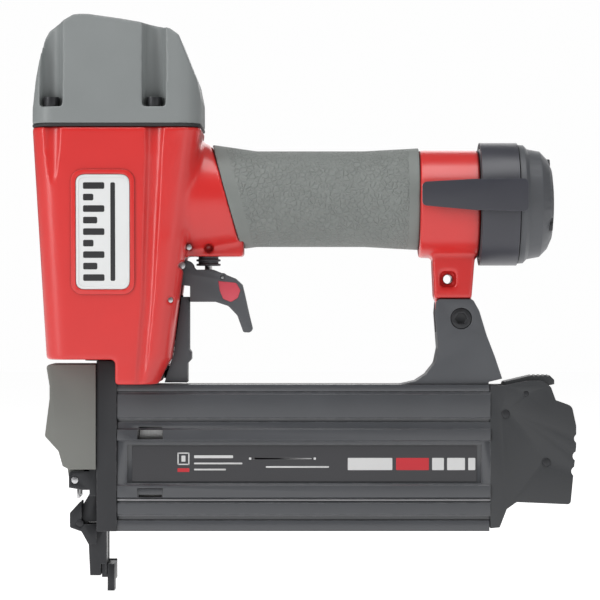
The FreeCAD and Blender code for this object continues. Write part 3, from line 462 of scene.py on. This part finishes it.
def refined(node, name, material, body, slot, width, segments=2, angle=32):
    """An eased copy of a designed piece that takes its place."""
    piece = ease(blank_from(node, name), width, segments, angle)
    return dress(piece, material, body, slot, node)


def coat(material, *names):
    """Put a finish on designed pieces that keep their shape."""
    for name in names:
        nodes[name].data.materials.clear()
        nodes[name].data.materials.append(material)


refined("cap_gasket", "gasket", nitrile, "frame", "black_rubber", 0.25)
refined("cap_screws", "cap_socket_screws", oxide, "frame", "dark_steel", 0.25)
coat(nitrile, "cylinder_seals", "piston_bumper", "exhaust_seal", "piston_seal", "head_valve_seal")
coat(light_alloy, "cylinder_sleeve", "piston", "head_valve")
coat(spring_steel, "head_valve_spring", "valve_spring", "safety_spring", "trigger_spring",
     "follower_spring")
coat(silencer, "muffler")

# ---------------------------------------------------------------- badge
# A pressed plate, printed white with a dark edge and plain bars, is glued in a raised border
# on the near side. The bars stand in for lettering, and say nothing.
badge_white = finish("printed_white", (0.72, 0.73, 0.73), 0.3, coat=0.4, fine=900, bump=0.004,
                     tone=0.03, worn_and_lit=(0.9, 0.9, 0.9), wear_and_highlight=0.1, shade_amount=0.25)
badge_ink = finish("printed_black", (0.012, 0.012, 0.014), 0.32, coat=0.4, fine=900, bump=0.004,
                   tone=0.1, worn_and_lit=(0.1, 0.1, 0.1), wear_and_highlight=0.1, shade_amount=0.2)
face_low, face_high, face_slope = 25.5, 99.4, 4 / 98.2


def lay_on_face(piece, proud):
    """Lean an upright plate against the near side, which slopes outwards as it rises."""
    outer = min(v.co.y for v in piece.data.vertices)
    for v in piece.data.vertices:
        face = -(face_low + (v.co.z / MM - face_high) * face_slope)
        v.co.y = (face - proud) * MM + (v.co.y - outer)
    return piece


def block(x, y, z):
    """A box between two limits along each axis, in millimetres."""
    deselect()
    middle = [(a + b) / 2 * MM for a, b in (x, y, z)]
    bpy.ops.mesh.primitive_cube_add(size=1, location=middle)
    bar = bpy.context.object
    bar.scale = [(b - a) * MM for a, b in (x, y, z)]
    bpy.ops.object.transform_apply(location=True, rotation=True, scale=True)
    return bar


def slab(x, z, depth, corner, segments=6):
    """An upright plate with rounded corners, its outer edge a little broken."""
    plate = block(x, (-31, -31 + depth), z)
    take(plate)
    bpy.ops.object.mode_set(mode="EDIT")
    bpy.ops.mesh.select_all(action="DESELECT")
    bm = bmesh.from_edit_mesh(plate.data)
    for edge in bm.edges:
        across = edge.verts[0].co - edge.verts[1].co
        edge.select = abs(across.y) > 0.9 * across.length
    bmesh.update_edit_mesh(plate.data)
    bpy.ops.mesh.bevel(offset=corner * MM, segments=segments, affect="EDGES")
    bpy.ops.mesh.select_all(action="DESELECT")
    bm = bmesh.from_edit_mesh(plate.data)
    for face in bm.faces:
        face.select = face.normal.y < -0.9
    bmesh.update_edit_mesh(plate.data)
    bpy.ops.mesh.bevel(offset=min(0.2, depth / 3) * MM, segments=2, affect="EDGES")
    bpy.ops.object.mode_set(mode="OBJECT")
    return plate


badge = slab((-9.6, 12.9), (129.1, 177.3), 1.4, 3.2)
bpy.ops.object.mode_set(mode="EDIT")
bm = bmesh.from_edit_mesh(badge.data)
for face in bm.faces:
    face.select = face.normal.y < -0.9 and face.calc_area() > 1e-4
bmesh.update_edit_mesh(badge.data)
bpy.ops.mesh.inset(thickness=0.9 * MM, depth=0)
bpy.ops.mesh.inset(thickness=0.15 * MM, depth=-0.25 * MM)
bpy.ops.object.mode_set(mode="OBJECT")
lay_on_face(badge, 0.55)
badge.name = "badge_plate"
dress(badge, badge_white, "frame", "badge_face", "badge")
bpy.ops.object.shade_smooth_by_angle(angle=math.radians(40))

ink = []
for step in range(9):
    z = (132.6 + 4.83 * step, 135.4 + 4.83 * step)
    ink.append(slab((-6.6, (2.4, -0.6, 2.4, -2.2)[step % 4]), z, 0.4, 0.5, 2))
ink.append(slab((4.9, 6.9), (132.6, 174), 0.4, 0.5, 2))
ink_marks = take(ink[0])
for mark in ink[1:]:
    mark.select_set(True)
bpy.ops.object.join()
lay_on_face(ink_marks, 0.38)
ink_marks.name = "badge_ink"
dress(ink_marks, badge_ink, "frame", "badge_face")

# the raised border that the housing has round the plate
rim = slab((-11.7, 15), (127, 179.4), 2.4, 4.8, 8)
carve(rim, slab((-9.9, 13.2), (128.8, 177.6), 4.4, 3.4, 6))
lay_on_face(rim, 0.75)
rim.name = "badge_border"
ease(rim, 0.3)
dress(rim, red_coat, "frame", "red_paint")

# ---------------------------------------------------------------- handle grip
# A soft rubber sleeve is moulded over the handle core. Its middle is stippled like leather and
# the two ends are smooth bands where it meets the casting.
grip_rubber = finish("grip_rubber", (0.2, 0.215, 0.205), 0.6, fine=1400, bump=0.05, broad=90,
                     tone=0.12, worn_and_lit=(0.32, 0.33, 0.32), wear_and_highlight=0.25, shade_amount=0.35, specular=0.35)
tree = grip_rubber.node_tree
where = chain(tree, "ShaderNodeTexCoord")
pebbles = chain(tree, "ShaderNodeTexVoronoi", feature="DISTANCE_TO_EDGE")
pebbles.inputs["Scale"].default_value = 480
warp = chain(tree, "ShaderNodeTexNoise")
warp.inputs["Scale"].default_value = 300
shift = chain(tree, "ShaderNodeVectorMath", operation="SCALE")
shift.inputs["Scale"].default_value = 0.0012
moved = chain(tree, "ShaderNodeVectorMath", operation="ADD")
tree.links.new(where.outputs["Object"], warp.inputs["Vector"])
tree.links.new(warp.outputs["Color"], shift.inputs[0])
tree.links.new(where.outputs["Object"], moved.inputs[0])
tree.links.new(shift.outputs["Vector"], moved.inputs[1])
tree.links.new(moved.outputs["Vector"], pebbles.inputs["Vector"])
domes = chain(tree, "ShaderNodeMapRange")
domes.inputs["From Max"].default_value = 0.22
tree.links.new(pebbles.outputs["Distance"], domes.inputs["Value"])
split = chain(tree, "ShaderNodeSeparateXYZ")
tree.links.new(where.outputs["Object"], split.inputs[0])
# how far a point is behind the slanted seam at the front of the sleeve
slope = chain(tree, "ShaderNodeMath", operation="MULTIPLY_ADD")
slope.inputs[1].default_value = 0.28
slope.inputs[2].default_value = -0.1006
tree.links.new(split.outputs["Z"], slope.inputs[0])
behind = chain(tree, "ShaderNodeMath", operation="ADD")
tree.links.new(split.outputs["X"], behind.inputs[0])
tree.links.new(slope.outputs["Value"], behind.inputs[1])
front_band = chain(tree, "ShaderNodeMapRange", interpolation_type="SMOOTHSTEP")
front_band.inputs["From Min"].default_value = 0.0052
front_band.inputs["From Max"].default_value = 0.0062
rear_band = chain(tree, "ShaderNodeMapRange", interpolation_type="SMOOTHSTEP")
rear_band.inputs["From Min"].default_value = 0.1312
rear_band.inputs["From Max"].default_value = 0.1302
tree.links.new(behind.outputs["Value"], front_band.inputs["Value"])
tree.links.new(split.outputs["X"], rear_band.inputs["Value"])
zone = chain(tree, "ShaderNodeMath", operation="MULTIPLY")
tree.links.new(front_band.outputs["Result"], zone.inputs[0])
tree.links.new(rear_band.outputs["Result"], zone.inputs[1])
stipple = chain(tree, "ShaderNodeMath", operation="MULTIPLY")
tree.links.new(domes.outputs["Result"], stipple.inputs[0])
tree.links.new(zone.outputs["Value"], stipple.inputs[1])
leather = chain(tree, "ShaderNodeBump")
leather.inputs["Strength"].default_value = 0.9
leather.inputs["Distance"].default_value = 0.34 * MM
tree.links.new(stipple.outputs["Value"], leather.inputs["Height"])
shader = tree.nodes["Principled BSDF"]
tree.links.new(shader.inputs["Normal"].links[0].from_socket, leather.inputs["Normal"])
tree.links.new(leather.outputs["Normal"], shader.inputs["Normal"])
grip = melt(blank_from("handle_grip", "grip_sleeve"), 0.55, 3, 0.6)
dress(grip, grip_rubber, "frame", "soft_grip", "handle_grip")

# ---------------------------------------------------------------- rear end and belt hook
# A turned end cap of glass-filled nylon is screwed to the handle over the silencer and holds
# the air inlet. The belt hook is one moulding whose ring swivels in front of it.
nylon = finish("glass_filled_nylon", (0.082, 0.086, 0.094), 0.44, fine=2400, bump=0.02, tone=0.1,
               worn_and_lit=(0.17, 0.17, 0.17), wear_and_highlight=0.4, width=0.0006, shade_amount=0.4, specular=0.4)
hook_nylon = finish("hook_nylon", (0.04, 0.041, 0.052), 0.36, fine=2400, bump=0.012, tone=0.1,
                    worn_and_lit=(0.16, 0.16, 0.18), wear_and_highlight=0.35, width=0.0005, shade_amount=0.4)
axis_z = 165.8
end_cap = blank_from("end_cap", "end_cap_moulding")
# a step round the rim and a shallow ring on the face, as the moulding tool leaves them
for x, outer, inner in ((181.2, 27, 24.6), (188.9, 27, 21.6)):
    ring_cutter = peg(outer, x, x + 0.5, "X", (0, axis_z), 96)
    carve(ring_cutter, peg(inner, x - 1, x + 1, "X", (0, axis_z), 96))
    carve(end_cap, ring_cutter)
ease(end_cap, 0.35)
dress(end_cap, nylon, "frame", "dark_plastic", "end_cap")
refined("end_cap_screws", "rear_screws", oxide, "frame", "dark_steel", 0.25)
refined("exhaust_collar", "exhaust_sleeve", nylon, "frame", "dark_plastic", 1.4, 4)
refined("inlet_bushing", "inlet_fitting", brass, "frame", "brass", 0.3)
refined("belt_hook", "belt_hook_moulding", hook_nylon, "belt_hook", "dark_plastic", 0.5, 3)

# ---------------------------------------------------------------- lug and magazine arm
# The rear of the magazine hangs from the red lug on a moulded nylon arm. A socket bolt and a
# nut clamp the two, and screws from inside the arm hold the magazine rail.
refined("magazine_arm", "magazine_bracket", nylon, "frame", "dark_plastic", 0.7, 3)
refined("arm_bolt", "bracket_bolt", oxide, "frame", "dark_steel", 0.25)
refined("arm_nut", "bracket_nut", oxide, "frame", "dark_steel", 0.25)
coat(oxide, "rail_screws")

# ---------------------------------------------------------------- nose, door and latch
# The nose is milled from hardened steel and blackened. Its front is a door on a pin, held shut
# by a pressed lever with a wire, under a grey moulded shield.
refined("nose_body", "nose", oxide, "frame", "dark_steel", 0.25)
refined("nose_screws", "nose_cap_screws", oxide, "frame", "dark_steel", 0.25)
refined("door_pin", "door_hinge_pin", oxide, "frame", "dark_steel", 0.2)
refined("nose_door", "nose_door_plate", oxide, "nose_door", "dark_steel", 0.25)
refined("latch_pin", "latch_hinge_pin", steel, "nose_door", "bright_steel", 0.2)
refined("latch_wire", "latch_wire_loop", steel, "nose_door", "bright_steel", 0.15)
refined("driver_blade", "driver", steel, "driver", "bright_steel", 0.1)
refined("contact_tip", "work_contact", oxide, "contact", "dark_steel", 0.3)
shield_grey = finish("shield_plastic", (0.165, 0.168, 0.155), 0.4, fine=2600, bump=0.014,
                     tone=0.07, worn_and_lit=(0.3, 0.3, 0.29), wear_and_highlight=0.35, width=0.0006, shade_amount=0.5)
refined("latch_lever", "latch_shield", shield_grey, "latch_lever", "grey_plastic", 0.6, 3)

# ---------------------------------------------------------------- trigger group
# The trigger is one nylon moulding with a soft red pad in each cheek, on a steel cross pin. Its
# rocker lifts the valve stem when the work contact's rod holds up the other end.
pad_red = finish("pad_rubber", (0.6, 0.07, 0.1), 0.45, fine=1600, bump=0.02, tone=0.06,
                 worn_and_lit=(0.7, 0.2, 0.2), wear_and_highlight=0.2, shade_amount=0.5)
refined("trigger", "trigger_moulding", nylon, "trigger", "dark_plastic", 0.5, 3)
refined("trigger_pads", "trigger_cheek_pads", pad_red, "trigger", "soft_grip", 0.3)
for node, name, material, body, slot in (
        ("trigger_pin", "trigger_cross_pin", steel, "frame", "bright_steel"),
        ("rocker_pin", "rocker_cross_pin", steel, "trigger", "bright_steel"),
        ("rocker", "rocker_arm", oxide, "rocker", "dark_steel"),
        ("trigger_valve", "trigger_valve_body", nylon, "frame", "dark_plastic"),
        ("valve_stem", "valve_plunger", steel, "valve_stem", "bright_steel"),
        ("roll_pins", "casting_roll_pins", steel, "frame", "bright_steel"),
        ("safety_guard", "safety_rod_guard", nylon, "frame", "dark_plastic")):
    refined(node, name, material, body, slot, 0.2)

# ---------------------------------------------------------------- magazine
# The rail and the sliding cover are extruded alloy, painted black and ribbed along their
# length. A moulded grip closes the rear of the cover, with a thumb latch between its cheeks.
black_paint = finish("magazine_paint", (0.05, 0.053, 0.06), 0.34, coat=0.5, fine=2600, bump=0.01,
                     tone=0.1, worn_and_lit=(0.3, 0.3, 0.31), wear_and_highlight=0.25, width=0.0006, shade_amount=0.6)
panel_ink = finish("label_film", (0.026, 0.026, 0.03), 0.3, coat=0.35, fine=900, bump=0.003,
                   tone=0.08, worn_and_lit=(0.08, 0.08, 0.09), wear_and_highlight=0.1, shade_amount=0.2)
end_nylon = finish("end_grip_nylon", (0.034, 0.036, 0.039), 0.46, fine=2400, bump=0.02, tone=0.1,
                   worn_and_lit=(0.16, 0.16, 0.16), wear_and_highlight=0.4, width=0.0006, shade_amount=0.4)
refined("magazine_rail", "magazine_rail_extrusion", black_paint, "frame", "dark_plastic", 0.5, 3)
cover = blank_from("magazine_cover", "magazine_cover_extrusion")


def rib(profile, x0, x1):
    """A length of extruded rib: a profile in Y and Z, run between two places along X."""
    deselect()
    bpy.ops.mesh.primitive_circle_add(vertices=len(profile), fill_type="NGON")
    run = bpy.context.object
    for corner, (y, z) in zip(run.data.vertices, profile):
        corner.co = (x0 * MM, y * MM, z * MM)
    bpy.ops.object.mode_set(mode="EDIT")
    bpy.ops.mesh.select_all(action="SELECT")
    bpy.ops.mesh.extrude_region_move(TRANSFORM_OT_translate={"value": ((x1 - x0) * MM, 0, 0)})
    bpy.ops.mesh.select_all(action="SELECT")
    bpy.ops.mesh.normals_make_consistent(inside=False)
    bpy.ops.object.mode_set(mode="OBJECT")
    return run


front, rear = 6.7, 165.8
# the upper window shows the heads of the brads
carve(cover, block((15.4, 26), (-13, -1), (65.2, 69.6)))
ease(cover, 0.3)
dress(cover, black_paint, "cover", "dark_plastic", "magazine_cover")
ribs = None
for profile, gap in (
        (((-11.2, 64.2), (-12.1, 64.9), (-12.1, 69.3), (-11.2, 70)), True),
        (((-11.2, 39.9), (-12.1, 40.6), (-12.1, 45.4), (-11.2, 46.1)), True),
        (((-11.2, 74.1), (-11.7, 74.5), (-11.7, 84.4), (-11.2, 84.8)), False),
        (((-11.2, 33), (-11.6, 33.4), (-11.6, 37.8), (-11.2, 38.2)), False)):
    strip = rib(profile, front, rear)
    if gap:
        for window in ((65.2, 69.4), (40.4, 44.4)):
            carve(strip, block((15.2, 26.2), (-14, -5), window))
    ribs = strip if ribs is None else add_solid(ribs, strip)
ribs.name = "magazine_cover_ribs"
ease(ribs, 0.4, 3)
dress(ribs, black_paint, "cover", "dark_plastic")

# a thin bright steel strip along the cover's lower edge is a painted highlight line
highlight_strip = rib(((-11.1, 38.9), (-11.7, 39.1), (-11.7, 39.7), (-11.1, 39.9)), front, rear)
highlight_strip.name = "magazine_cover_highlight_strip"
ease(highlight_strip, 0.12)
dress(highlight_strip, spring_steel, "cover", "dark_plastic")

brad_wire = finish("brad_wire", (0.6, 0.6, 0.6), 0.35, metallic=1.0, fine=3000, bump=0.004)
coat(brad_wire, "brad_stick")
refined("follower", "brad_follower", oxide, "follower", "dark_steel", 0.2)
refined("end_grip", "magazine_end_grip", end_nylon, "cover", "dark_plastic", 0.7, 3)
refined("grip_rivets", "end_grip_rivets", oxide, "cover", "dark_steel", 0.3)
refined("thumb_latch", "magazine_thumb_latch", end_nylon, "thumb_latch", "dark_plastic", 0.4)
refined("thumb_pin", "thumb_latch_pin", oxide, "cover", "dark_steel", 0.2)

# the printed film in the recess: black, with plain bars and rules that say nothing
coat(panel_ink, "magazine_label")
for name, colour, marks in (
        ("label_white_marks", (0.6, 0.6, 0.6), (
            ((32.3, 37.4), (59, 59.5)), ((32.3, 37.4), (54.2, 54.7)), ((32.3, 32.8), (54.2, 59.5)),
            ((36.9, 37.4), (54.2, 59.5)), ((34, 35.7), (55.6, 58.2)),
            ((39.4, 56), (57.1, 58.3)), ((39.4, 60), (54.5, 55.2)), ((39.4, 53), (51.9, 52.6)),
            ((62.8, 63.8), (56.4, 57.4)), ((65, 89.6), (56.7, 57.1)), ((90.4, 91.4), (56.4, 57.4)),
            ((70, 97), (53, 53.7)),
            ((105, 124), (52, 57.2)), ((141, 146), (52, 57.2)), ((147.4, 155), (52, 57.2)),
            ((156.4, 159.4), (52, 57.2)))),
        ("label_red_marks", (0.5, 0.02, 0.03), (
            ((32.3, 37.4), (51.2, 52.8)), ((125.6, 139.6), (52, 57.2))))):
    made = None
    for x, z in marks:
        mark = slab(x, z, 0.16, 0.25, 2)
        made = mark if made is None else add_solid(made, mark)
    outer = min(v.co.y for v in made.data.vertices)
    made.data.transform(Matrix.Translation((0, -10.38 * MM - outer, 0)))
    made.name = name
    tint = finish(name + "_ink", colour, 0.4, fine=900, bump=0.003, tone=0.05, wear_and_highlight=0.1, shade_amount=0.2)
    dress(made, tint, "cover", "label_face")
